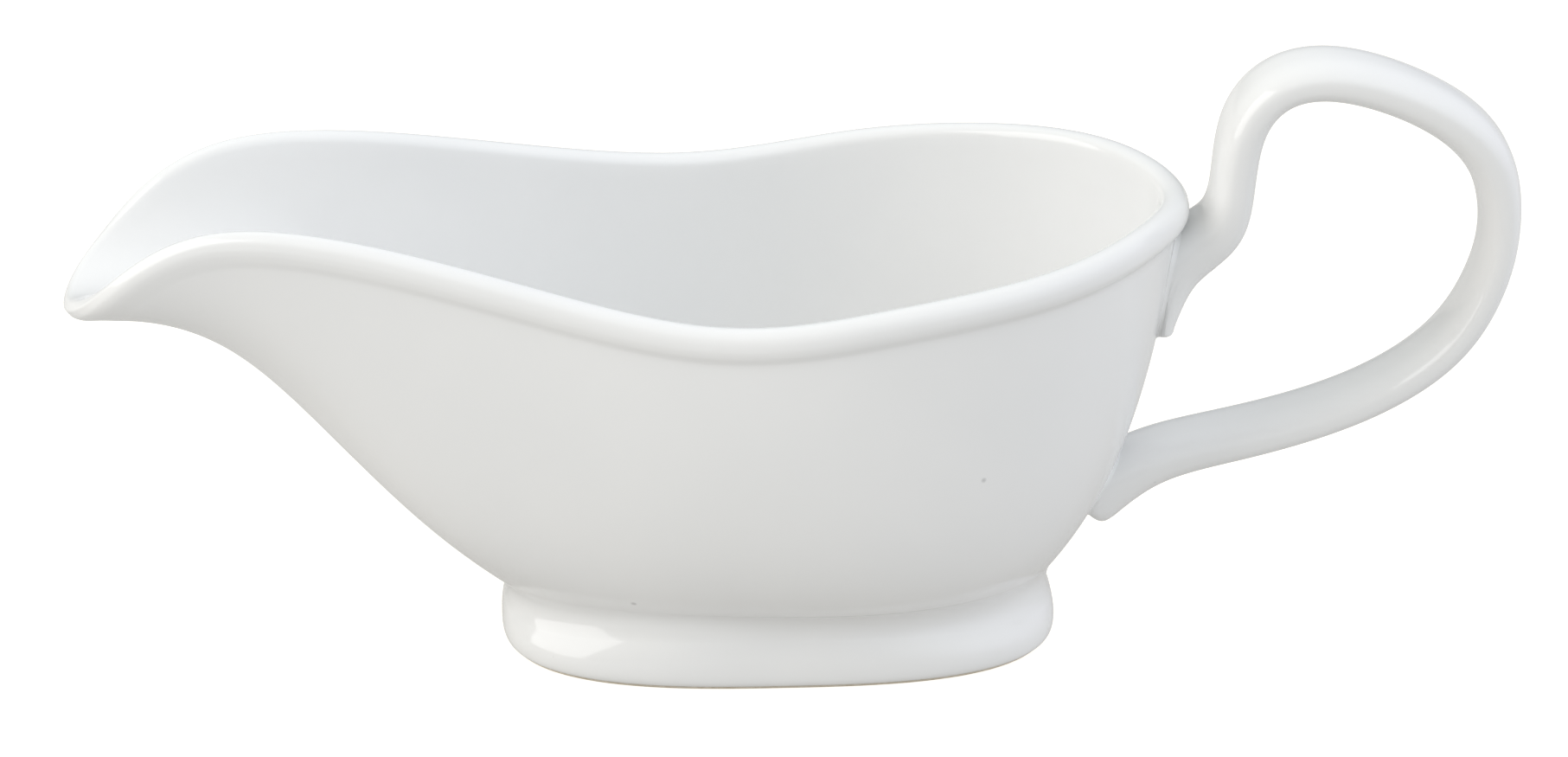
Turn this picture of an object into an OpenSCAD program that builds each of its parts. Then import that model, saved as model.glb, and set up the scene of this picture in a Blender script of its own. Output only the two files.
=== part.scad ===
// Porcelain gravy boat: cast bowl with a pouring spout, pedestal foot and one loop handle.
// Millimetres, Z up. The origin is the centre of the foot on the table.
// The spout points to -X, the handle to +X, and the boat is symmetric about the plane Y = 0.

/* [Rim path] */
// Rim behind the foot centre, at the handle end
rim_rear_x = 66.5; // [64:0.5:69]
// Height of the rim at the handle end
rim_rear_z = 70.5; // [69:0.5:73]
// Half width of the rim near the handle
rear_half_w = 19.5; // [18:0.5:21]
// Half width of the rim behind its widest place
flank_half_w = 37; // [35:0.5:39]
// Half width of the rim at its widest place
wide_half_w = 44; // [42:0.5:46]
// Height of the rim at its widest place
wide_z = 67.5; // [66:0.5:69]
// Half width of the rim where it dips lowest
dip_half_w = 41.5; // [39:0.5:43]
// Height of the dip in the rim
dip_z = 62; // [60:0.5:65]
// Half width of the rim where the spout begins
spout_root_half_w = 31; // [29:0.5:33]
// Height of the rim where the spout begins
spout_root_z = 71; // [69:0.5:73]
// Half width of the rim at the spout shoulder
shoulder_half_w = 21.5; // [20:0.5:23]
// Height of the spout shoulder
shoulder_z = 78; // [76:0.5:80]
// Reach of the spout in front of the foot centre
spout_reach = 111.5; // [109:0.5:114]
// Height of the pouring lip
spout_tip_z = 52.5; // [51:0.5:54]

/* [Wall and rim roll] */
// Thickness across the rolled rim
rim_t = 4.6; // [4.2:0.1:5.2]
// Height of the rolled rim
rim_h = 5.8; // [5.4:0.1:6.4]
// How far the roll stands out of the wall at the sides. It is twice this at the handle end
bead = 0.8; // [0.6:0.1:0.9]
// Wall thickness at the pouring lip
spout_t = 3.4; // [3.2:0.1:3.8]
// Height of the bowl floor above the table
floor_z = 13; // [12.5:0.5:14]

/* [Foot] */
// Half length of the foot
foot_half_l = 43.5; // [42.5:0.1:44.5]
// Half width of the foot
foot_half_w = 28.2; // [27.2:0.1:29.2]
// Half length of the neck above the foot
neck_half_l = 41.8; // [41.2:0.1:42.6]
// Half width of the neck above the foot
neck_half_w = 26.6; // [25.6:0.1:27.2]
// Height of the neck at the two ends
neck_end_z = 8.6; // [8:0.1:9.2]
// Height of the neck at the two sides
neck_side_z = 11.4; // [10.6:0.1:11.8]
// Thickness of the foot wall
foot_t = 4.5; // [4:0.1:5]
// Height of the unglazed ground ring
land_h = 0.5; // [0.4:0.1:0.8]

/* [Handle] */
// Width of the handle across the boat
handle_w = 15; // [13.5:0.5:16]
// Thickness of the slip that holds the handle on
slip_t = 0.6; // [0.5:0.1:0.8]
// How far the slip spreads around the handle
slip_spread = 1.4; // [1:0.1:1.8]

/* [Hidden] */

porcelain = [0.95, 0.95, 0.94];
bare_porcelain = [0.88, 0.83, 0.74];

// Rim stations from the handle end to the pouring lip: x, y, z, lean of the wall, bead height.
rim_half = [
    [rim_rear_x, 0, rim_rear_z, 81, 2 * bead],
    [59, rear_half_w, 72, 87, 1.8 * bead],
    [43, flank_half_w, 70, 87, 1.4 * bead],
    [14, wide_half_w, wide_z, 90, bead],
    [-12.5, dip_half_w, dip_z, 91, bead],
    [-49, spout_root_half_w, spout_root_z, 83, 0.8 * bead],
    [-91, shoulder_half_w, shoulder_z, 53, 0.25 * bead],
    [-107, 18, 57.5, -1.5, 0],
    [-spout_reach, 0, spout_tip_z, -7.5, 0]
];
stations = len(rim_half);
rim_net = [
    for (i = [0:2 * stations - 3])
        i < stations ? rim_half[i] : flip(rim_half[2 * stations - 2 - i])
];
spans = len(rim_net);
span_steps = 6;
around = spans * span_steps;
wall_steps = 14;
inner_steps = 13;

// Shape of the outer wall at the handle end, the side and the spout end.
wall_rise = [56, 12, 38.3];
wall_low_pull = [0.34, 0.24, 0.535];
wall_high_pull = [0.46, 0.66, 0.294];
// The same for the inner wall.
inner_rise = [0, 4, 29];
inner_low_pull = [0.22, 0.3, 0.65];
inner_high_pull = [0.46, 0.78, 0.36];
floor_half_l = 32;
floor_half_w = 13;
neck_roundness = 2.2;
foot_roundness = 2.8;
neck_shift = -0.25;
neck_fillet_up = 5;
neck_fillet_down = 4;
foot_edge_z = 2.3;
land_inset = 0.9;
foot_wall_pull = 0.5;
recess_ceiling_z = 8.5;

function flip(p) = [p[0], -p[1], p[2], p[3], p[4]];
function unit(v) = v / norm(v);
function flat(v) = [v[0], v[1], 0];
function clamp(v, low, high) = max(low, min(high, v));
function signed_power(v, roundness) = sign(v) * pow(abs(v), 2 / roundness);
function spline_weights(t) =
    [pow(1 - t, 3), 3 * pow(t, 3) - 6 * t * t + 4, -3 * pow(t, 3) + 3 * t * t + 3 * t + 1, pow(t, 3)] / 6;
function spline_slopes(t) = [-pow(1 - t, 2), 3 * t * t - 4 * t, -3 * t * t + 2 * t + 1, t * t] / 2;
function bezier(c, t) =
    pow(1 - t, 3) * c[0] + 3 * pow(1 - t, 2) * t * c[1] + 3 * (1 - t) * t * t * c[2] + pow(t, 3) * c[3];

// Rim line, one point for each column of the wall.
rim = [
    for (i = [0:spans - 1])
        for (k = [0:span_steps - 1])
            spline_weights(k / span_steps) * [for (d = [-1:2]) rim_net[(i + d + spans) % spans]]
];
rim_front_x = rim[around / 2][0];
rim_back_x = rim[0][0];
function rim_point(j) = [rim[j][0], rim[j][1], rim[j][2]];
function rim_tangent(j) = unit(rim_point((j + 1) % around) - rim_point((j + around - 1) % around));

// Angle of each column about the foot, taken from how far along the boat its rim point is.
function column_angle(j) =
    let (m = clamp((2 * rim[j][0] - rim_front_x - rim_back_x) / (rim_back_x - rim_front_x), -1, 1))
    j <= around / 2 ? acos(m) : -acos(m);
angles = [for (j = [0:around - 1]) column_angle(j)];

function oval(a, half_l, half_w, roundness, z) =
    [half_l * signed_power(cos(a), roundness), half_w * signed_power(sin(a), roundness), z];
// Blend of handle-end, side and spout-end values at angle a.
function blend(v, a) = v[0] * pow(max(cos(a), 0), 2) + v[1] * pow(sin(a), 2) + v[2] * pow(max(-cos(a), 0), 2);

function neck_z(a) = neck_end_z + (neck_side_z - neck_end_z) * pow(sin(a), 2);
function neck_corner(a) = oval(a, neck_half_l, neck_half_w, neck_roundness, neck_z(a)) + [neck_shift, 0, 0];
function slope_dir(plan, angle) = plan * cos(angle) + [0, 0, sin(angle)];

// Direction of the wall where it meets the rim.
function wall_dir(j) = slope_dir(unit(flat(rim_point(j) - neck_corner(angles[j]))), rim[j][3]);
function rim_up(j) = let (d = wall_dir(j), t = rim_tangent(j)) unit(d - (d * t) * t);
function rim_out(j) = cross(rim_tangent(j), rim_up(j));

// Section of the rolled rim, from under the bead, over the top, to the inside.
function rim_section(j) =
    let (
        b = rim[j][4],
        t = spout_t + (rim_t - spout_t) * clamp(1.2 * b / bead, 0, 1),
        steps = [
            [-b, -rim_h],
            [-0.9 * b, -rim_h + 0.6],
            [-0.65 * b, -rim_h + 1.1],
            [-0.3 * b, -rim_h + 1.7],
            [-0.07 * b, -rim_h + 2.4],
            [0, -rim_h + 3.1],
            [-0.12, -1.8],
            [-0.55, -0.85],
            [-1.3, -0.22],
            [-t / 2, 0],
            [-t + 1.2, -0.15],
            [-t + 0.45, -0.6],
            [-t + 0.1, -1.3],
            [-t, -2.3]
        ]
    )
    [for (s = steps) rim_point(j) + rim_out(j) * s[0] + rim_up(j) * s[1]];
sections = [for (j = [0:around - 1]) rim_section(j)];
section_points = len(sections[0]);

function outer_controls(j) =
    let (
        a = angles[j],
        n = neck_corner(a),
        top = sections[j][0],
        chord = norm(top - n),
        plan = unit(flat(rim_point(j) - n))
    )
    [
        n,
        n + chord * blend(wall_low_pull, a) * slope_dir(plan, blend(wall_rise, a)),
        top - chord * blend(wall_high_pull, a) * wall_dir(j),
        top
    ];
outer = [for (j = [0:around - 1]) outer_controls(j)];

function inner_controls(j) =
    let (
        a = angles[j],
        f = oval(a, floor_half_l, floor_half_w, 2, floor_z),
        top = sections[j][section_points - 1],
        chord = norm(top - f),
        plan = unit(flat(top - f))
    )
    [
        f,
        f + chord * blend(inner_low_pull, a) * slope_dir(plan, blend(inner_rise, a)),
        top - chord * blend(inner_high_pull, a) * wall_dir(j),
        top
    ];

// Outer face of the foot from the neck corner down to the start of its bottom edge.
function foot_controls(a) =
    let (n = neck_corner(a), e = oval(a, foot_half_l, foot_half_w, foot_roundness, foot_edge_z), h = n[2] - e[2])
    [n, n - [0, 0, 0.25 * h], e + [0, 0, foot_wall_pull * h], e];

// The soft hollow at the neck: a curve from the foot wall to the bowl wall past the neck corner.
function fillet_top_t(j) = neck_fillet_up / (3 * norm(outer[j][1] - outer[j][0]));
function fillet_bottom_t(a) = let (c = foot_controls(a)) neck_fillet_down / (3 * norm(c[1] - c[0]) + 2);
function neck_fillet(j, t) =
    let (low = bezier(foot_controls(angles[j]), fillet_bottom_t(angles[j])), high = bezier(outer[j], fillet_top_t(j)))
    pow(1 - t, 2) * low + 2 * t * (1 - t) * neck_corner(angles[j]) + t * t * high;
function seam_outside(j) = neck_fillet(j, 0.5);
function seam_inside(j) =
    oval(angles[j], neck_half_l - foot_t, neck_half_w - foot_t, neck_roundness, seam_outside(j)[2])
        + [neck_shift, 0, 0];

function body_column(j) =
    let (top_t = fillet_top_t(j), inside = inner_controls(j))
    concat(
        [[0.5 * seam_inside(j)[0], 0.5 * seam_inside(j)[1], recess_ceiling_z]],
        [seam_inside(j), seam_outside(j), neck_fillet(j, 0.75)],
        [for (k = [0:wall_steps - 1]) bezier(outer[j], top_t + (1 - top_t) * k / wall_steps)],
        sections[j],
        [for (k = [inner_steps - 1:-1:0]) bezier(inside, k / inner_steps)]
    );

function foot_column(j) =
    let (
        a = angles[j],
        wall = foot_controls(a),
        low_t = fillet_bottom_t(a),
        outside = land_outside(a),
        inside = land_inside(a),
        top = seam_inside(j)
    )
    concat(
        [seam_outside(j), neck_fillet(j, 0.25)],
        [for (k = [0:4]) bezier(wall, low_t + (1 - low_t) * k / 4)],
        [for (k = [1:3]) edge_round(wall[3], outside, k / 3)],
        [for (k = [0:3]) inside + (top - inside) * k / 4],
        [top]
    );
// Quarter round from the upright foot wall into the ground face.
function edge_round(wall, ground, t) =
    let (corner = [wall[0], wall[1], ground[2]])
    pow(1 - t, 2) * wall + 2 * t * (1 - t) * corner + t * t * ground;
function land_outside(a) =
    oval(a, foot_half_l - land_inset, foot_half_w - land_inset, foot_roundness, land_h);
function land_inside(a) =
    oval(a, foot_half_l - land_inset - foot_t + 1, foot_half_w - land_inset - foot_t + 1, foot_roundness, land_h);

// Faces of a sheet of rings: ring r and point j of the ring make vertex r * count + j.
function sheet_faces(rings, count, closed, outward) =
    [
        for (r = [0:rings - (closed ? 1 : 2)])
            for (j = [0:count - 1])
                let (
                    near = r * count,
                    far = ((r + 1) % rings) * count,
                    next = (j + 1) % count
                )
                for (face = [[near + j, far + next, near + next], [near + j, far + j, far + next]])
                    outward ? face : [face[0], face[2], face[1]]
    ];
function fan_faces(centre, ring, count, turned) =
    [
        for (j = [0:count - 1])
            turned ? [centre, ring + (j + 1) % count, ring + j] : [centre, ring + j, ring + (j + 1) % count]
    ];
function by_rings(columns) =
    [for (r = [0:len(columns[0]) - 1]) for (j = [0:len(columns) - 1]) columns[j][r]];

module body() {
    columns = [for (j = [0:around - 1]) body_column(j)];
    rings = len(columns[0]);
    count = rings * around;
    color(porcelain)
        polyhedron(
            points = concat(by_rings(columns), [[0, 0, recess_ceiling_z], [0, 0, floor_z]]),
            faces = concat(
                sheet_faces(rings, around, false, true),
                fan_faces(count, 0, around, false),
                fan_faces(count + 1, count - around, around, true)
            )
        );
}

module foot() {
    columns = [for (j = [0:around - 1]) foot_column(j)];
    color(porcelain)
        polyhedron(points = by_rings(columns), faces = sheet_faces(len(columns[0]), around, true, false));
}

module foot_land() {
    color(bare_porcelain)
        linear_extrude(height = land_h)
            difference() {
                polygon([for (a = angles) [land_outside(a)[0], land_outside(a)[1]]]);
                polygon([for (a = angles) [land_inside(a)[0], land_inside(a)[1]]]);
            }
}

// Centre line of the handle in the plane Y = 0, from the upper pad over the top to the lower end:
// x, z and thickness.
handle_line = [
    [59.7, 50.2, 4.1],
    [61, 60, 9],
    [68.6, 63.9, 7.4],
    [70.6, 69.5, 6.3],
    [70.9, 81.9, 6.9],
    [77, 89.3, 6.1],
    [87.5, 90.1, 6.9],
    [101.9, 84.5, 6.9],
    [110.9, 76.8, 7.8],
    [112.9, 64.6, 5.6],
    [110.8, 54.6, 5.5],
    [104.9, 43.8, 5.5],
    [91.3, 35.2, 5.3],
    [73.4, 30, 5.7],
    [59, 27.4, 6],
    [50.4, 21.5, 9]
];
handle_last = len(handle_line) - 1;
handle_net = concat(
    [2 * handle_line[0] - handle_line[1]],
    handle_line,
    [2 * handle_line[handle_last] - handle_line[handle_last - 1]]
);
handle_rails = 32;
handle_rings = 60;
handle_squareness = 2.7;
upper_end_reach = 1.4;
lower_end_reach = 3.2;
end_squareness = 0.5;
end_narrowing = 0.3;
shear_reach = 0.35;
// The slip under the handle: size of its inner ring, place and height of the ring on its slope.
pad_share = 0.5;
slope_share = 0.45;
slope_height = 0.25;

function handle_span(s) = clamp(floor(s), 0, handle_last - 1);
function handle_at(s) =
    let (i = handle_span(s)) spline_weights(s - i) * [for (d = [0:3]) handle_net[i + d]];
function handle_heading(s) =
    let (i = handle_span(s), g = spline_slopes(s - i) * [for (d = [0:3]) handle_net[i + d]])
    unit([g[0], g[1]]);

// Point of rail q at place s along the handle. Past either end the section closes onto the bowl side.
function rail_point(q, s) =
    let (
        inside_s = clamp(s, 0, handle_last),
        over = abs(s - inside_s),
        turn = 90 * min(over, 1),
        c = handle_at(inside_s),
        g = handle_heading(inside_s),
        a = 360 * q / handle_rails,
        u = signed_power(cos(a), handle_squareness),
        hold = pow(cos(turn), end_squareness),
        closing = s < 0 ? 1 - (1 - u) * hold : -1 + (1 + u) * hold,
        v = signed_power(sin(a), handle_squareness) * (1 - end_narrowing * (1 - cos(turn))),
        reach = (s < 0 ? -upper_end_reach : lower_end_reach) * pow(sin(turn), end_squareness),
        half = c[2] / 2
    )
    [
        c[0] - g[1] * half * closing + g[0] * reach,
        handle_w / 2 * v,
        c[1] + g[0] * half * closing + g[1] * reach
    ];

// Outer wall of the bowl at the handle end as x for a given y and z, bent by a second column.
side_column = 3;
function height_t(c, z, low, high, n) =
    let (mid = (low + high) / 2)
    n == 0 ? mid : bezier(c, mid)[2] < z ? height_t(c, z, mid, high, n - 1) : height_t(c, z, low, mid, n - 1);
function wall_point(j, z) = bezier(outer[j], height_t(outer[j], z, 0, 1, 14));
function wall_x(y, z) =
    let (middle = wall_point(0, z), side = wall_point(side_column, z))
    middle[0] - (middle[0] - side[0]) * pow(y / side[1], 2);
function clearance(q, s) = let (p = rail_point(q, s)) p[0] - wall_x(p[1], p[2]) - slip_t;

// Where rail q meets the slip, found by stepping to the bowl and then halving the last step.
scan_step = 0.1;
function meet(q, s, step) =
    clearance(q, s + step) > 0 && abs(s + step - handle_last / 2) < handle_last / 2 + 1
        ? meet(q, s + step, step)
        : halve(q, s, s + step, 12);
function halve(q, free, buried, n) =
    let (mid = (free + buried) / 2)
    n == 0 ? mid : clearance(q, mid) > 0 ? halve(q, mid, buried, n - 1) : halve(q, free, mid, n - 1);
upper_meets = [for (q = [0:handle_rails - 1]) meet(q, 3, -scan_step)];
lower_meets = [for (q = [0:handle_rails - 1]) meet(q, handle_last - 2, scan_step)];

function ring_place(q, f) =
    let (
        start = min(upper_meets),
        finish = max(lower_meets),
        from_start = pow(max(0, 1 - f / shear_reach), 2),
        from_finish = pow(max(0, 1 - (1 - f) / shear_reach), 2)
    )
    start + (finish - start) * f
        + (upper_meets[q] - start) * from_start
        + (lower_meets[q] - finish) * from_finish;

upper_outline = [for (q = [0:handle_rails - 1]) rail_point(q, upper_meets[q])];
lower_outline = [for (q = [0:handle_rails - 1]) rail_point(q, lower_meets[q])];

// Outline of a joint drawn in or spread out in y and z, then laid at a height off the wall.
function middle_of(outline) = [0, 0, (max([for (p = outline) p[2]]) + min([for (p = outline) p[2]])) / 2];
function laid(y, z, off) = [wall_x(y, z) + off, y, z];
function joint_ring(outline, share, off) =
    let (m = middle_of(outline))
    [for (p = outline) laid(share * p[1], m[2] + share * (p[2] - m[2]), off)];
function spread_ring(outline, by) =
    let (m = middle_of(outline))
    [
        for (p = outline)
            let (d = unit([p[1], p[2] - m[2]]))
            laid(p[1] + by * d[0], p[2] + by * d[1], 0)
    ];

module handle() {
    steps = [for (k = [0:handle_rings]) k / handle_rings];
    loops = [for (f = steps) for (q = [0:handle_rails - 1]) rail_point(q, ring_place(q, f))];
    upper_inner = joint_ring(upper_outline, pad_share, slip_t);
    lower_inner = joint_ring(lower_outline, pad_share, slip_t);
    rings = handle_rings + 3;
    count = rings * handle_rails;
    upper_mid = middle_of(upper_outline);
    lower_mid = middle_of(lower_outline);
    color(porcelain)
        polyhedron(
            points = concat(
                upper_inner,
                loops,
                lower_inner,
                [laid(0, upper_mid[2], slip_t), laid(0, lower_mid[2], slip_t)]
            ),
            faces = concat(
                sheet_faces(rings, handle_rails, false, false),
                fan_faces(count, 0, handle_rails, true),
                fan_faces(count + 1, count - handle_rails, handle_rails, false)
            )
        );
}

// A skin of dried slip: full thickness under the handle, thinning to nothing around it.
module slip_joint(outline, turned) {
    m = middle_of(outline);
    rings = [
        joint_ring(outline, pad_share, 0),
        joint_ring(outline, 1, 0),
        spread_ring(outline, slip_spread),
        spread_ring(outline, slope_share * slip_spread),
        outline,
        joint_ring(outline, pad_share, slip_t)
    ];
    raised = [
        for (r = [0:len(rings) - 1])
            for (p = rings[r])
                r == 3 ? p + [slope_height * slip_t, 0, 0] : p
    ];
    count = len(raised);
    polyhedron(
        points = concat(raised, [laid(0, m[2], 0), laid(0, m[2], slip_t)]),
        faces = concat(
            sheet_faces(len(rings), handle_rails, false, turned),
            fan_faces(count, 0, handle_rails, !turned),
            fan_faces(count + 1, count - handle_rails, handle_rails, turned)
        )
    );
}

module upper_slip_joint() {
    color(porcelain)
        slip_joint(upper_outline, false);
}

module lower_slip_joint() {
    color(porcelain)
        slip_joint(lower_outline, true);
}

body();
foot();
foot_land();
handle();
upper_slip_joint();
lower_slip_joint();
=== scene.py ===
"""A glazed porcelain gravy boat in plain studio light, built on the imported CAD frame.

Shapes are worked out in millimetres, and to_mesh turns them into metres.
Lights, floor and camera are in metres.
"""
import math

import bpy
import numpy as np
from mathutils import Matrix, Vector


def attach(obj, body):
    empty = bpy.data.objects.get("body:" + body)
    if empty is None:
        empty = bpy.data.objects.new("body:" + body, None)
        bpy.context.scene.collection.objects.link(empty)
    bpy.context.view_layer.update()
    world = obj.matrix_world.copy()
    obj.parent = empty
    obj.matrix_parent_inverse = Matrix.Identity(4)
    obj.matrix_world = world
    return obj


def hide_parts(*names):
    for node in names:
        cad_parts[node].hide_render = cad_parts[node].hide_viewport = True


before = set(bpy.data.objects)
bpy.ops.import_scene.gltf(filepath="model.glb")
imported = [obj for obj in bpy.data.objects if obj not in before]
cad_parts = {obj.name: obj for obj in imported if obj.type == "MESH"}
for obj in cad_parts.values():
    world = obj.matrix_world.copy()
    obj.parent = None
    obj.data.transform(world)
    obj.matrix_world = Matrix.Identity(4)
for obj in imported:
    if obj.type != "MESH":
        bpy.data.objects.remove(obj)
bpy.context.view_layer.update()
MM = 0.001

# ---------------------------------------------------------------- sizes, as in part.scad
BEAD = 0.8
RIM_T = 4.6
RIM_H = 5.8
SPOUT_T = 3.4
FLOOR_Z = 13.0
FOOT_HALF = (43.5, 28.2)
FOOT_ROUNDNESS = 2.8
NECK_HALF = (41.8, 26.6)
NECK_ROUNDNESS = 2.2
NECK_END_Z = 8.6
NECK_SIDE_Z = 11.4
NECK_SHIFT = np.array([-0.25, 0, 0])
FOOT_T = 4.5
LAND_H = 0.5
LAND_INSET = 0.9
FOOT_EDGE_Z = 2.3
RECESS_Z = 8.5
# Pull of the foot wall's curve at its top and at its bottom.
FOOT_TOP_PULL = 0.25
FOOT_WALL_PULL = 0.5
# How much narrower the ground ring is than the foot wall.
LAND_NARROWING = 1.0
HANDLE_W = 15.0
SLIP_T = 0.6

# Rim stations from the handle end to the pouring lip: x, y, z, lean of the wall, bead height.
RIM_HALF = np.array([
    [66.5, 0, 70.5, 81, 2 * BEAD],
    [59, 19.5, 72, 87, 1.8 * BEAD],
    [43, 37, 70, 87, 1.4 * BEAD],
    [14, 44, 67.5, 90, BEAD],
    [-12.5, 41.5, 62, 91, BEAD],
    [-49, 31, 71, 83, 0.8 * BEAD],
    [-91, 21.5, 78, 53, 0.25 * BEAD],
    [-107, 18, 57.5, -1.5, 0],
    [-111.5, 0, 52.5, -7.5, 0],
], float)
# Each of these is for the handle end, the side and the spout end.
WALL_RISE = (56, 12, 38.3)
WALL_LOW_PULL = (0.34, 0.24, 0.535)
WALL_HIGH_PULL = (0.46, 0.66, 0.294)
INNER_RISE = (0, 4, 29)
INNER_LOW_PULL = (0.22, 0.3, 0.65)
INNER_HIGH_PULL = (0.46, 0.78, 0.36)
FLOOR_HALF = (32.0, 13.0)
NECK_FILLET_UP = 5.0
NECK_FILLET_DOWN = 4.0

PER_SPAN = 18
WALL_ROWS = 84
RIM_ROWS = 64
INNER_ROWS = 80
UP = np.array([0.0, 0.0, 1.0])


def spline_weights(t):
    return np.stack([(1 - t) ** 3, 3 * t**3 - 6 * t**2 + 4, -3 * t**3 + 3 * t**2 + 3 * t + 1, t**3], -1) / 6


def closed_spline(points, per_span):
    n = len(points)
    w = spline_weights(np.arange(per_span) / per_span)
    return np.concatenate([w @ points[[(i - 1) % n, i, (i + 1) % n, (i + 2) % n]] for i in range(n)])


def unit(v):
    return v / np.linalg.norm(v, axis=-1, keepdims=True)


def signed_power(v, roundness):
    return np.sign(v) * np.abs(v) ** (2.0 / roundness)


def bezier(c, t):
    t = np.asarray(t, float)
    t = t[:, None, None] if t.ndim == 1 else t[:, :, None]
    return (1 - t) ** 3 * c[0] + 3 * (1 - t) ** 2 * t * c[1] + 3 * (1 - t) * t**2 * c[2] + t**3 * c[3]


def oval(half, roundness, z):
    x = half[0] * signed_power(COS, roundness)
    y = half[1] * signed_power(SIN, roundness)
    return np.stack([x, y, z + 0 * COS], -1)


def blend(v):
    return (v[0] * np.maximum(COS, 0) ** 2 + v[1] * SIN**2 + v[2] * np.maximum(-COS, 0) ** 2)[:, None]


def slope(plan, degrees):
    a = np.radians(degrees)
    return plan * np.cos(a) + UP * np.sin(a)


def flat(v):
    return v * np.array([1.0, 1.0, 0.0])


# ---------------------------------------------------------------- rim line and column angles
mirrored = RIM_HALF[1:-1][::-1] * np.array([1, -1, 1, 1, 1])
rim = closed_spline(np.vstack([RIM_HALF, mirrored]), PER_SPAN)
AROUND = len(rim)
rim_p = rim[:, :3]
rim_t = unit(np.roll(rim_p, -1, 0) - np.roll(rim_p, 1, 0))
span_x = (rim[:, 0].min(), rim[:, 0].max())
along = np.clip((2 * rim[:, 0] - sum(span_x)) / (span_x[1] - span_x[0]), -1, 1)
angle = np.where(np.arange(AROUND) <= AROUND // 2, np.arccos(along), -np.arccos(along))
COS, SIN = np.cos(angle), np.sin(angle)

neck_z = NECK_END_Z + (NECK_SIDE_Z - NECK_END_Z) * SIN**2
neck = oval(NECK_HALF, NECK_ROUNDNESS, neck_z) + NECK_SHIFT
plan = unit(flat(rim_p - neck))
wall_dir = slope(plan, rim[:, 3:4])
rim_up = unit(wall_dir - (wall_dir * rim_t).sum(1, keepdims=True) * rim_t)
rim_out = np.cross(rim_t, rim_up)


def resample(section, rows):
    """A smooth curve through a section's points: Catmull-Rom in equal steps of length."""
    substeps = 12
    padded = np.concatenate([[2 * section[0] - section[1]], section, [2 * section[-1] - section[-2]]])
    fine = []
    t = np.linspace(0, 1, substeps, endpoint=False)[:, None, None]
    for i in range(1, len(padded) - 2):
        a, b, c, d = padded[i - 1], padded[i], padded[i + 1], padded[i + 2]
        square = 2 * a - 5 * b + 4 * c - d
        cube = 3 * b - a - 3 * c + d
        fine.append(0.5 * (2 * b + (c - a) * t + square * t**2 + cube * t**3))
    fine = np.concatenate(fine + [section[-1:]])
    step = np.linalg.norm(np.diff(fine, axis=0), axis=2).mean(1)
    length = np.concatenate([[0], np.cumsum(step)])
    want = np.linspace(0, length[-1], rows)
    k = np.clip(np.searchsorted(length, want, side="right") - 1, 0, len(length) - 2)
    f = ((want - length[k]) / (length[k + 1] - length[k]))[:, None, None]
    return fine[k] * (1 - f) + fine[k + 1] * f


# Section of the rolled rim, from under the roll, over the top, to the inside.
# Each step is the way out of the wall, then the way up along it.
roll = rim[:, 4]
t_rim = SPOUT_T + (RIM_T - SPOUT_T) * np.clip(1.2 * roll / BEAD, 0, 1)
zero = 0 * roll
steps = [
    (-roll, -RIM_H + zero),
    (-0.9 * roll, -RIM_H + 0.6 + zero),
    (-0.65 * roll, -RIM_H + 1.1 + zero),
    (-0.3 * roll, -RIM_H + 1.7 + zero),
    (-0.07 * roll, -RIM_H + 2.4 + zero),
    (zero, -RIM_H + 3.1 + zero),
    (-0.12 + zero, -1.8 + zero),
    (-0.55 + zero, -0.85 + zero),
    (-1.3 + zero, -0.22 + zero),
    (-t_rim / 2, zero),
    (-t_rim + 1.2, -0.15 + zero),
    (-t_rim + 0.45, -0.6 + zero),
    (-t_rim + 0.1, -1.3 + zero),
    (-t_rim, -2.3 + zero),
]
rim_section = np.array([rim_p + rim_out * out[:, None] + rim_up * up[:, None] for out, up in steps])

chord = np.linalg.norm(rim_section[0] - neck, axis=1)[:, None]
outer = (
    neck,
    neck + chord * blend(WALL_LOW_PULL) * slope(plan, blend(WALL_RISE)),
    rim_section[0] - chord * blend(WALL_HIGH_PULL) * wall_dir,
    rim_section[0],
)
floor_edge = oval(FLOOR_HALF, 2, FLOOR_Z)
inner_top = rim_section[-1]
inner_chord = np.linalg.norm(inner_top - floor_edge, axis=1)[:, None]
inner_plan = unit(flat(inner_top - floor_edge))
inner = (
    floor_edge,
    floor_edge + inner_chord * blend(INNER_LOW_PULL) * slope(inner_plan, blend(INNER_RISE)),
    inner_top - inner_chord * blend(INNER_HIGH_PULL) * wall_dir,
    inner_top,
)

# ---------------------------------------------------------------- foot profile and neck fillet
foot_top = oval(FOOT_HALF, FOOT_ROUNDNESS, FOOT_EDGE_Z)
foot_h = (neck_z - FOOT_EDGE_Z)[:, None]
foot_wall = (neck, neck - FOOT_TOP_PULL * foot_h * UP, foot_top + FOOT_WALL_PULL * foot_h * UP, foot_top)
high_t = NECK_FILLET_UP / (3 * np.linalg.norm(outer[1] - outer[0], axis=1))
low_t = NECK_FILLET_DOWN / (3 * np.linalg.norm(foot_wall[1] - foot_wall[0], axis=1) + 2)
fillet_high = bezier(outer, high_t[None])[0]
fillet_low = bezier(foot_wall, low_t[None])[0]


def fillet(t):
    t = np.asarray(t)[:, None, None]
    return (1 - t) ** 2 * fillet_low + 2 * t * (1 - t) * neck + t**2 * fillet_high


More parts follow.
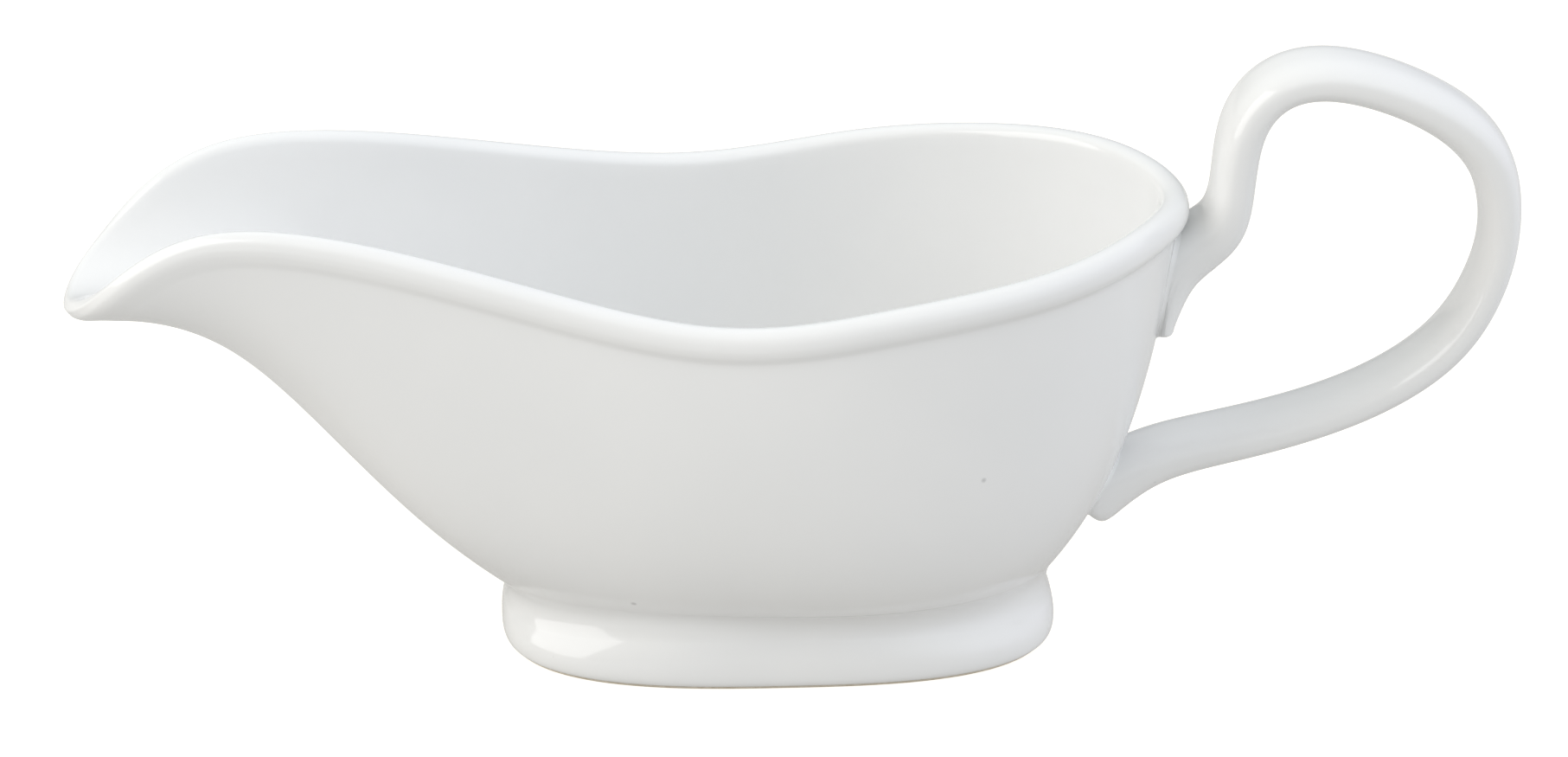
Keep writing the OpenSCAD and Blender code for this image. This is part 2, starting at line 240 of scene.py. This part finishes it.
land_out = oval((FOOT_HALF[0] - LAND_INSET, FOOT_HALF[1] - LAND_INSET), FOOT_ROUNDNESS, LAND_H)
land_in_half = [half - LAND_INSET - FOOT_T + LAND_NARROWING for half in FOOT_HALF]
land_in = oval(land_in_half, FOOT_ROUNDNESS, LAND_H)
seam_out = fillet([0.5])[0]
seam_in = oval((NECK_HALF[0] - FOOT_T, NECK_HALF[1] - FOOT_T), NECK_ROUNDNESS, 0) + NECK_SHIFT
seam_in[:, 2] = seam_out[:, 2]


# ---------------------------------------------------------------- mesh helpers
def to_mesh(name, points, faces, normals=()):
    """A smooth-shaded piece. normals: (first vertex, directions) for stretches that need their own."""
    mesh = bpy.data.meshes.new(name)
    mesh.from_pydata((np.asarray(points) * MM).tolist(), [], faces)
    mesh.validate()
    mesh.update()
    mesh.shade_smooth()
    if normals:
        own = np.zeros(len(mesh.vertices) * 3)
        mesh.vertices.foreach_get("normal", own)
        own = own.reshape(-1, 3)
        for first, values in normals:
            own[first:first + len(values)] = values
        mesh.normals_split_custom_set_from_vertices(own.tolist())
    piece = bpy.data.objects.new(name, mesh)
    bpy.context.scene.collection.objects.link(piece)
    return piece


def sheet_faces(rows, count, closed_rows=False, flip=False):
    """Quads between rows of count points, each row a closed ring."""
    faces = []
    for r in range(rows if closed_rows else rows - 1):
        near = r * count
        far = ((r + 1) % rows) * count
        for j in range(count):
            k = (j + 1) % count
            quad = (near + j, near + k, far + k, far + j)
            faces.append(quad[::-1] if flip else quad)
    return faces


def fan(centre, ring, count, flip=False):
    return [
        (centre, ring + (j + 1) % count, ring + j) if flip else (centre, ring + j, ring + (j + 1) % count)
        for j in range(count)
    ]


def capped_faces(rows, count, flip=False):
    """A sheet whose first and last rings are closed by fans. The two fan centres come after the last row."""
    points = rows * count
    first_cap = fan(points, 0, count, not flip)
    last_cap = fan(points + 1, points - count, count, flip)
    return sheet_faces(rows, count, False, flip) + first_cap + last_cap


def grid_normals(rows):
    """Normals of a sheet from its neighbours along and across. rows: R x N x 3, closed along N."""
    across = np.roll(rows, -1, 1) - np.roll(rows, 1, 1)
    along_rows = np.gradient(rows, axis=0)
    return unit(np.cross(across, along_rows))


# ---------------------------------------------------------------- body
wall_t = np.array([high_t + (1 - high_t) * k for k in np.linspace(0, 1, WALL_ROWS)])
wall_rows = bezier(outer, wall_t)
rim_rows = resample(rim_section, RIM_ROWS)
inner_rows = bezier(inner, np.linspace(1, 0, INNER_ROWS))
floor_rows = np.array([floor_edge * np.array([s, s, 1.0]) for s in (0.86, 0.7, 0.52, 0.34, 0.17)])
fillet_up_rows = fillet(np.linspace(0.5, 1, 9))
fillet_down_rows = fillet(np.linspace(0.5, 0, 9))
recess_rows = np.array([
    np.stack([s * seam_in[:, 0], s * seam_in[:, 1], RECESS_Z + (seam_in[:, 2] - RECESS_Z) * s**6], -1)
    for s in (0.12, 0.3, 0.5, 0.68, 0.8, 0.88, 0.94)
])
body_rows = np.concatenate([
    recess_rows, [seam_in], fillet_up_rows, wall_rows[1:], rim_rows[1:], inner_rows[1:], floor_rows,
])
seam_row = len(recess_rows) + 1
foot_rows = np.concatenate([
    fillet_down_rows,
    bezier(foot_wall, np.array([low_t + (1 - low_t) * k for k in np.linspace(0, 1, 18)]))[1:],
    np.array([
        (1 - k) ** 2 * foot_top + 2 * k * (1 - k) * (foot_top * [1, 1, 0] + LAND_H * UP) + k**2 * land_out
        for k in np.linspace(0, 1, 10)
    ])[1:],
    np.array([land_in + (seam_in - land_in) * k for k in np.linspace(0, 1, 10)]),
])
join = np.concatenate([foot_rows[:4][::-1], body_rows[seam_row + 1:seam_row + 4]])
seam_normals = grid_normals(join)[3]

body = to_mesh(
    "bowl",
    np.concatenate([body_rows.reshape(-1, 3), [[0, 0, RECESS_Z], [0, 0, FLOOR_Z]]]),
    capped_faces(len(body_rows), AROUND),
    [(seam_row * AROUND, seam_normals)],
)
foot = to_mesh(
    "foot_ring",
    foot_rows.reshape(-1, 3),
    sheet_faces(len(foot_rows), AROUND, True, True),
    [(0, seam_normals)],
)

# The ground ring's lower corners are rounded off: how far in at the table and part of the way up.
CORNER_IN = 0.25
CORNER_PART_IN = 0.03
part_way = [1, 1, 0.35]
on_table = [1, 1, 0]
out_dir = flat(unit(land_out))
in_dir = flat(unit(land_in))
land_rows = np.array([
    land_out,
    land_out * part_way - out_dir * CORNER_PART_IN,
    land_out * on_table - out_dir * CORNER_IN,
    land_in * on_table + in_dir * CORNER_IN,
    land_in * part_way + in_dir * CORNER_PART_IN,
    land_in,
])
land = to_mesh("ground_ring", land_rows.reshape(-1, 3), sheet_faces(len(land_rows), AROUND, True, True))

# ---------------------------------------------------------------- handle
# Centre line of the handle in the plane y = 0, from the upper pad over the top to the lower end:
# x, z and thickness.
HANDLE_LINE = np.array([
    [59.7, 50.2, 4.1], [61, 60, 9], [68.6, 63.9, 7.4], [70.6, 69.5, 6.3],
    [70.9, 81.9, 6.9], [77, 89.3, 6.1], [87.5, 90.1, 6.9], [101.9, 84.5, 6.9],
    [110.9, 76.8, 7.8], [112.9, 64.6, 5.6], [110.8, 54.6, 5.5], [104.9, 43.8, 5.5],
    [91.3, 35.2, 5.3], [73.4, 30, 5.7], [59, 27.4, 6], [50.4, 21.5, 9],
])
LAST = len(HANDLE_LINE) - 1
RAILS = 72
HANDLE_ROWS = 340
SQUARENESS = 2.7
UPPER_END_REACH = 1.4
LOWER_END_REACH = 3.2
END_SQUARENESS = 0.5
END_NARROWING = 0.3
SHEAR = 0.35
# The slip under the handle: size of its inner ring and of the ring just inside the outline.
PAD_SHARE = 0.5
PAD_EDGE_SHARE = 0.97
# The collar of slip: rows across it, and how far its end is let into the handle,
# as shares of the way to the handle's middle.
COLLAR_ROWS = 14
COLLAR_FLUSH = 0.004
COLLAR_SUNK = 0.12
before_first = 2 * HANDLE_LINE[0] - HANDLE_LINE[1]
after_last = 2 * HANDLE_LINE[-1] - HANDLE_LINE[-2]
handle_net = np.vstack([before_first, HANDLE_LINE, after_last])
rail_angle = 2 * np.pi * np.arange(RAILS) / RAILS


def rail_points(q_angle, s):
    """Points on the handle's skin: rail at q_angle, place s along it. It closes past both ends."""
    q_angle, s = np.broadcast_arrays(q_angle, s)
    inside = np.clip(s, 0, LAST)
    over = np.minimum(np.abs(s - inside), 1)
    turn = np.pi / 2 * over
    i = np.clip(np.floor(inside), 0, LAST - 1).astype(int)
    t = inside - i
    w = spline_weights(t)
    g = np.stack([-((1 - t) ** 2), 3 * t * t - 4 * t, -3 * t * t + 2 * t + 1, t * t], -1) / 2
    net = np.stack([handle_net[i + d] for d in range(4)], -2)
    c = (w[..., None] * net).sum(-2)
    h = (g[..., None] * net).sum(-2)[..., :2]
    h = unit(h)
    u = signed_power(np.cos(q_angle), SQUARENESS)
    hold = np.maximum(np.cos(turn), 0) ** END_SQUARENESS
    closing = np.where(s < 0, 1 - (1 - u) * hold, -1 + (1 + u) * hold)
    v = signed_power(np.sin(q_angle), SQUARENESS) * (1 - END_NARROWING * (1 - np.cos(turn)))
    reach = np.where(s < 0, -UPPER_END_REACH, LOWER_END_REACH) * np.sin(turn) ** END_SQUARENESS
    half = c[..., 2] / 2
    return np.stack([
        c[..., 0] - h[..., 1] * half * closing + h[..., 0] * reach,
        HANDLE_W / 2 * v,
        c[..., 1] + h[..., 0] * half * closing + h[..., 1] * reach,
    ], -1)


column = np.linspace(0, 1, 400)
middle_wall = bezier(tuple(c[:1] for c in outer), column)[:, 0]
side_wall = bezier(tuple(c[PER_SPAN // 2:PER_SPAN // 2 + 1] for c in outer), column)[:, 0]


def wall_x(y, z):
    """The bowl's outer face at the handle end as x for a given y and z."""
    mid = np.interp(z, middle_wall[:, 2], middle_wall[:, 0])
    side_x = np.interp(z, side_wall[:, 2], side_wall[:, 0])
    side_y = np.interp(z, side_wall[:, 2], side_wall[:, 1])
    return mid - (mid - side_x) * (y / side_y) ** 2


def meets(start, stop, off):
    """Where each rail comes within off of the bowl, going from place start to place stop."""
    places = np.linspace(start, stop, 1500)
    found = np.empty(RAILS)
    for q, a in enumerate(rail_angle):
        p = rail_points(a, places)
        gap = p[:, 0] - wall_x(p[:, 1], p[:, 2]) - off
        k = np.argmax(gap < 0)
        f = gap[k - 1] / (gap[k - 1] - gap[k])
        found[q] = places[k - 1] + f * (places[k] - places[k - 1])
    return found


upper_meets = meets(3, -1, SLIP_T)
lower_meets = meets(LAST - 2, LAST + 1, SLIP_T)
f = np.linspace(0, 1, HANDLE_ROWS)[:, None]
start, finish = upper_meets.min(), lower_meets.max()
places = (
    start + (finish - start) * f
    + (upper_meets - start) * np.maximum(0, 1 - f / SHEAR) ** 2
    + (lower_meets - finish) * np.maximum(0, 1 - (1 - f) / SHEAR) ** 2
)
handle_rows = rail_points(rail_angle[None], places)
upper_outline, lower_outline = handle_rows[0], handle_rows[-1]


def laid(y, z, off):
    """Points laid on the bowl's wall, or off it by off along x."""
    return np.stack([wall_x(y, z) + off, y, z], -1)


def middle(outline):
    return (outline[:, 2].max() + outline[:, 2].min()) / 2


def joint_ring(outline, share, off):
    """The joint's outline drawn in to a share of its size."""
    m = middle(outline)
    return laid(share * outline[:, 1], m + share * (outline[:, 2] - m), off)


def joint_centres(outline, *offs):
    return np.array([laid(np.float64(0), middle(outline), off) for off in offs])


handle_all = np.concatenate([
    [joint_ring(upper_outline, PAD_SHARE, SLIP_T)],
    handle_rows,
    [joint_ring(lower_outline, PAD_SHARE, SLIP_T)],
])
handle = to_mesh(
    "loop_handle",
    np.concatenate([
        handle_all.reshape(-1, 3), joint_centres(upper_outline, SLIP_T), joint_centres(lower_outline, SLIP_T),
    ]),
    capped_faces(len(handle_all), RAILS, True),
)
# Where the band turns sharply into its closing end, the faces keep their own flat shading.
sharp_rails = np.flatnonzero(np.abs(np.roll(upper_meets, -1) - upper_meets) > 0.5)
pad_rows = HANDLE_ROWS // 8
for row in range(pad_rows):
    for rail in sharp_rails:
        handle.data.polygons[row * RAILS + int(rail)].use_smooth = False


def wall_normal(y, z):
    e = 0.2
    slope_y = (wall_x(y + e, z) - wall_x(y - e, z)) / (2 * e)
    slope_z = (wall_x(y, z + e) - wall_x(y, z - e)) / (2 * e)
    return unit(np.stack([np.ones_like(slope_y), -slope_y, -slope_z], -1))


def slip_collar(name, outline, meet_s, away, spread, turned):
    """The soft collar of slip where the handle meets the bowl, with its hidden layer under the handle.

    It reaches spread over the wall and goes up the handle by away, counted in places along it.
    """
    m = middle(outline)
    edge = np.roll(outline, -1, 0) - np.roll(outline, 1, 0)
    d = unit(np.stack([edge[:, 2], -edge[:, 1]], -1))
    if (d * np.stack([outline[:, 1], outline[:, 2] - m], -1)).sum() < 0:
        d = -d
    on_wall = laid(outline[:, 1] + spread * d[:, 0], outline[:, 2] + spread * d[:, 1], 0.0)
    corner = laid(outline[:, 1], outline[:, 2], 0.0)
    on_handle = rail_points(rail_angle, meet_s + away)
    heart = on_handle.mean(0)
    on_handle = on_handle + COLLAR_FLUSH * (heart - on_handle)
    sunk = on_handle + COLLAR_SUNK * (heart - on_handle)
    k = np.linspace(0, 1, COLLAR_ROWS)[:, None, None]
    curve = (1 - k) ** 2 * on_wall + 2 * k * (1 - k) * corner + k**2 * on_handle
    under = [joint_ring(outline, PAD_SHARE, 0.0), joint_ring(outline, PAD_EDGE_SHARE, 0.0)]
    rows = np.concatenate([under, curve, [sunk, joint_ring(outline, PAD_SHARE, SLIP_T)]])
    return to_mesh(
        name,
        np.concatenate([rows.reshape(-1, 3), joint_centres(outline, 0.0, SLIP_T)]),
        capped_faces(len(rows), RAILS, turned),
        [(len(under) * RAILS, wall_normal(on_wall[:, 1], on_wall[:, 2]))],
    )


upper_slip = slip_collar("upper_slip_collar", upper_outline, upper_meets, 0.05, 0.5, True)
lower_slip = slip_collar("lower_slip_collar", lower_outline, lower_meets, -0.07, 0.7, False)


# ---------------------------------------------------------------- materials
def node(tree, kind, **values):
    n = tree.nodes.new(kind)
    for key, value in values.items():
        if key.startswith("in_"):
            n.inputs[key[3:].replace("_", " ")].default_value = value
        else:
            setattr(n, key, value)
    return n


def ramp(tree, stops):
    n = tree.nodes.new("ShaderNodeValToRGB")
    n.color_ramp.elements[0].position, n.color_ramp.elements[0].color = stops[0]
    n.color_ramp.elements[1].position, n.color_ramp.elements[1].color = stops[-1]
    for position, color in stops[1:-1]:
        n.color_ramp.elements.new(position).color = color
    return n


def remap(tree, value, to_min, to_max, from_min=0.0, from_max=1.0):
    n = tree.nodes.new("ShaderNodeMapRange")
    n.inputs["From Min"].default_value = from_min
    n.inputs["From Max"].default_value = from_max
    n.inputs["To Min"].default_value = to_min
    n.inputs["To Max"].default_value = to_max
    tree.links.new(value, n.inputs["Value"])
    return n.outputs["Result"]


def glazed_porcelain():
    mat = bpy.data.materials.new("glazed_porcelain")
    mat.use_nodes = True
    tree = mat.node_tree
    bsdf = tree.nodes["Principled BSDF"]
    link = tree.links.new
    place = node(tree, "ShaderNodeTexCoord").outputs["Object"]
    cloud = node(tree, "ShaderNodeTexNoise", in_Scale=28.0, in_Detail=3.0, in_Roughness=0.5)
    link(place, cloud.inputs["Vector"])
    tint = ramp(tree, [(0.30, (0.800, 0.803, 0.800, 1)), (0.70, (0.828, 0.828, 0.822, 1))])
    link(cloud.outputs["Fac"], tint.inputs["Fac"])
    # A few pinholes in the glaze, each well under a millimetre.
    pits = node(tree, "ShaderNodeTexVoronoi", in_Scale=60.0)
    link(place, pits.inputs["Vector"])
    pinhole = remap(tree, pits.outputs["Distance"], 0.72, 1.0, 0.015, 0.035)
    specked = node(tree, "ShaderNodeVectorMath", operation="SCALE")
    link(tint.outputs["Color"], specked.inputs[0])
    link(pinhole, specked.inputs["Scale"])
    link(specked.outputs[0], bsdf.inputs["Base Color"])
    film = node(tree, "ShaderNodeTexNoise", in_Scale=140.0, in_Detail=4.0, in_Roughness=0.6)
    link(place, film.inputs["Vector"])
    link(remap(tree, film.outputs["Fac"], 0.06, 0.14), bsdf.inputs["Roughness"])
    peel = node(tree, "ShaderNodeTexNoise", in_Scale=90.0, in_Detail=2.0, in_Roughness=0.4)
    link(place, peel.inputs["Vector"])
    bump = node(tree, "ShaderNodeBump", in_Strength=0.15, in_Distance=0.0002)
    link(peel.outputs["Fac"], bump.inputs["Height"])
    link(bump.outputs["Normal"], bsdf.inputs["Normal"])
    bsdf.inputs["IOR"].default_value = 1.5
    bsdf.inputs["Subsurface Weight"].default_value = 0.0
    return mat


def bare_porcelain():
    mat = bpy.data.materials.new("bare_porcelain")
    mat.use_nodes = True
    tree = mat.node_tree
    bsdf = tree.nodes["Principled BSDF"]
    link = tree.links.new
    place = node(tree, "ShaderNodeTexCoord").outputs["Object"]
    grain = node(tree, "ShaderNodeTexNoise", in_Scale=900.0, in_Detail=5.0, in_Roughness=0.7)
    link(place, grain.inputs["Vector"])
    tint = ramp(tree, [(0.35, (0.60, 0.53, 0.42, 1)), (0.65, (0.72, 0.66, 0.56, 1))])
    link(grain.outputs["Fac"], tint.inputs["Fac"])
    link(tint.outputs["Color"], bsdf.inputs["Base Color"])
    link(remap(tree, grain.outputs["Fac"], 0.6, 0.85), bsdf.inputs["Roughness"])
    bump = node(tree, "ShaderNodeBump", in_Strength=0.4, in_Distance=0.0001)
    link(grain.outputs["Fac"], bump.inputs["Height"])
    link(bump.outputs["Normal"], bsdf.inputs["Normal"])
    return mat


MATERIALS = {"glazed_porcelain": glazed_porcelain(), "bare_porcelain": bare_porcelain()}
for piece, cad_node, slot in (
    (body, "body", "glazed_porcelain"),
    (foot, "foot", "glazed_porcelain"),
    (land, "foot_land", "bare_porcelain"),
    (handle, "handle", "glazed_porcelain"),
    (upper_slip, "upper_slip_joint", "glazed_porcelain"),
    (lower_slip, "lower_slip_joint", "glazed_porcelain"),
):
    piece.data.materials.append(MATERIALS[slot])
    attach(piece, "root")
    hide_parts(cad_node)

# ---------------------------------------------------------------- floor, light and camera
floor_mesh = bpy.data.meshes.new("floor")
TABLE_HALF = 6.0
corners = [(x * TABLE_HALF, y * TABLE_HALF, 0) for x, y in ((-1, -1), (1, -1), (1, 1), (-1, 1))]
floor_mesh.from_pydata(corners, [], [(0, 1, 2, 3)])
floor_piece = bpy.data.objects.new("floor", floor_mesh)
bpy.context.scene.collection.objects.link(floor_piece)
floor_mat = bpy.data.materials.new("floor_white")
floor_mat.use_nodes = True
floor_bsdf = floor_mat.node_tree.nodes["Principled BSDF"]
floor_bsdf.inputs["Base Color"].default_value = (0.3, 0.3, 0.3, 1)
floor_bsdf.inputs["Roughness"].default_value = 0.9
floor_bsdf.inputs["Specular IOR Level"].default_value = 0.0
floor_bsdf.inputs["Emission Color"].default_value = (1.0, 0.97, 0.90, 1)
# The floor glows like a lit sheet of paper, and is brighter to the camera than to the boat standing on it.
floor_seen = node(floor_mat.node_tree, "ShaderNodeLightPath").outputs["Is Camera Ray"]
floor_glow = remap(floor_mat.node_tree, floor_seen, 0.32, 0.92)
floor_mat.node_tree.links.new(floor_glow, floor_bsdf.inputs["Emission Strength"])
floor_mesh.materials.append(floor_mat)

# Wide, even studio light: where it comes from, how narrow it is, and its strength as red, green and blue.
SKY = (
    ((1, -1, 1), 3, (1.44, 1.55, 1.65)),
    ((-1, 1, 1), 3, (0.74, 0.77, 0.76)),
    ((1, 1, 1), 3, (0.87, 0.91, 0.96)),
    ((-1, -1, 1), 3, (0.34, 0.28, 0.19)),
    ((1, 0, 0), 2, (0.36, 0.28, 0.30)),
)
world = bpy.data.worlds.new("studio")
bpy.context.scene.world = world
world.use_nodes = True
sky = world.node_tree
direction = node(sky, "ShaderNodeTexCoord").outputs["Generated"]
total = None
for side, narrowness, strength in SKY:
    facing = node(sky, "ShaderNodeVectorMath", operation="DOT_PRODUCT")
    facing.inputs[1].default_value = Vector(side).normalized()
    sky.links.new(direction, facing.inputs[0])
    lit = node(sky, "ShaderNodeMath", operation="MAXIMUM")
    lit.inputs[1].default_value = 0.0
    sky.links.new(facing.outputs["Value"], lit.inputs[0])
    share = node(sky, "ShaderNodeMath", operation="POWER")
    share.inputs[1].default_value = narrowness
    sky.links.new(lit.outputs[0], share.inputs[0])
    part = node(sky, "ShaderNodeVectorMath", operation="SCALE")
    part.inputs[0].default_value = strength
    sky.links.new(share.outputs[0], part.inputs["Scale"])
    if total is None:
        total = part.outputs[0]
    else:
        add = node(sky, "ShaderNodeVectorMath", operation="ADD")
        sky.links.new(total, add.inputs[0])
        sky.links.new(part.outputs[0], add.inputs[1])
        total = add.outputs[0]
background = sky.nodes["Background"]
sky.links.new(total, background.inputs["Color"])
backdrop = node(sky, "ShaderNodeBackground", in_Color=(1, 1, 1, 1), in_Strength=1.0)
seen = node(sky, "ShaderNodeLightPath").outputs["Is Camera Ray"]
pick = node(sky, "ShaderNodeMixShader")
sky.links.new(seen, pick.inputs[0])
sky.links.new(background.outputs[0], pick.inputs[1])
sky.links.new(backdrop.outputs[0], pick.inputs[2])
sky.links.new(pick.outputs[0], sky.nodes["World Output"].inputs["Surface"])


def softbox(name, place, target, size, power):
    data = bpy.data.lights.new(name, "AREA")
    data.shape = "RECTANGLE"
    data.size, data.size_y = size
    data.energy = power
    lamp = bpy.data.objects.new(name, data)
    bpy.context.scene.collection.objects.link(lamp)
    lamp.location = place
    lamp.rotation_euler = (Vector(target) - Vector(place)).to_track_quat("-Z", "Y").to_euler()


softbox("left_softbox", (-1.3, -0.35, 0.75), (0, 0, 0.04), (1.5, 1.5), 17.6)

camera_data = bpy.data.cameras.new("camera")
camera_data.sensor_width = 36.0
camera_data.lens = 147.23
camera_data.clip_start = 0.05
camera = bpy.data.objects.new("camera", camera_data)
bpy.context.scene.collection.objects.link(camera)
azimuth, elevation, distance = math.radians(-2.8), math.radians(22.0), 1.0
target = Vector((0.00106, 0.0, 0.04057))
back = Vector((
    math.sin(azimuth) * math.cos(elevation),
    -math.cos(azimuth) * math.cos(elevation),
    math.sin(elevation),
))
camera.location = target + distance * back
camera.rotation_euler = (-back).to_track_quat("-Z", "Y").to_euler()
bpy.context.scene.camera = camera
bpy.context.scene.view_settings.view_transform = "Standard"
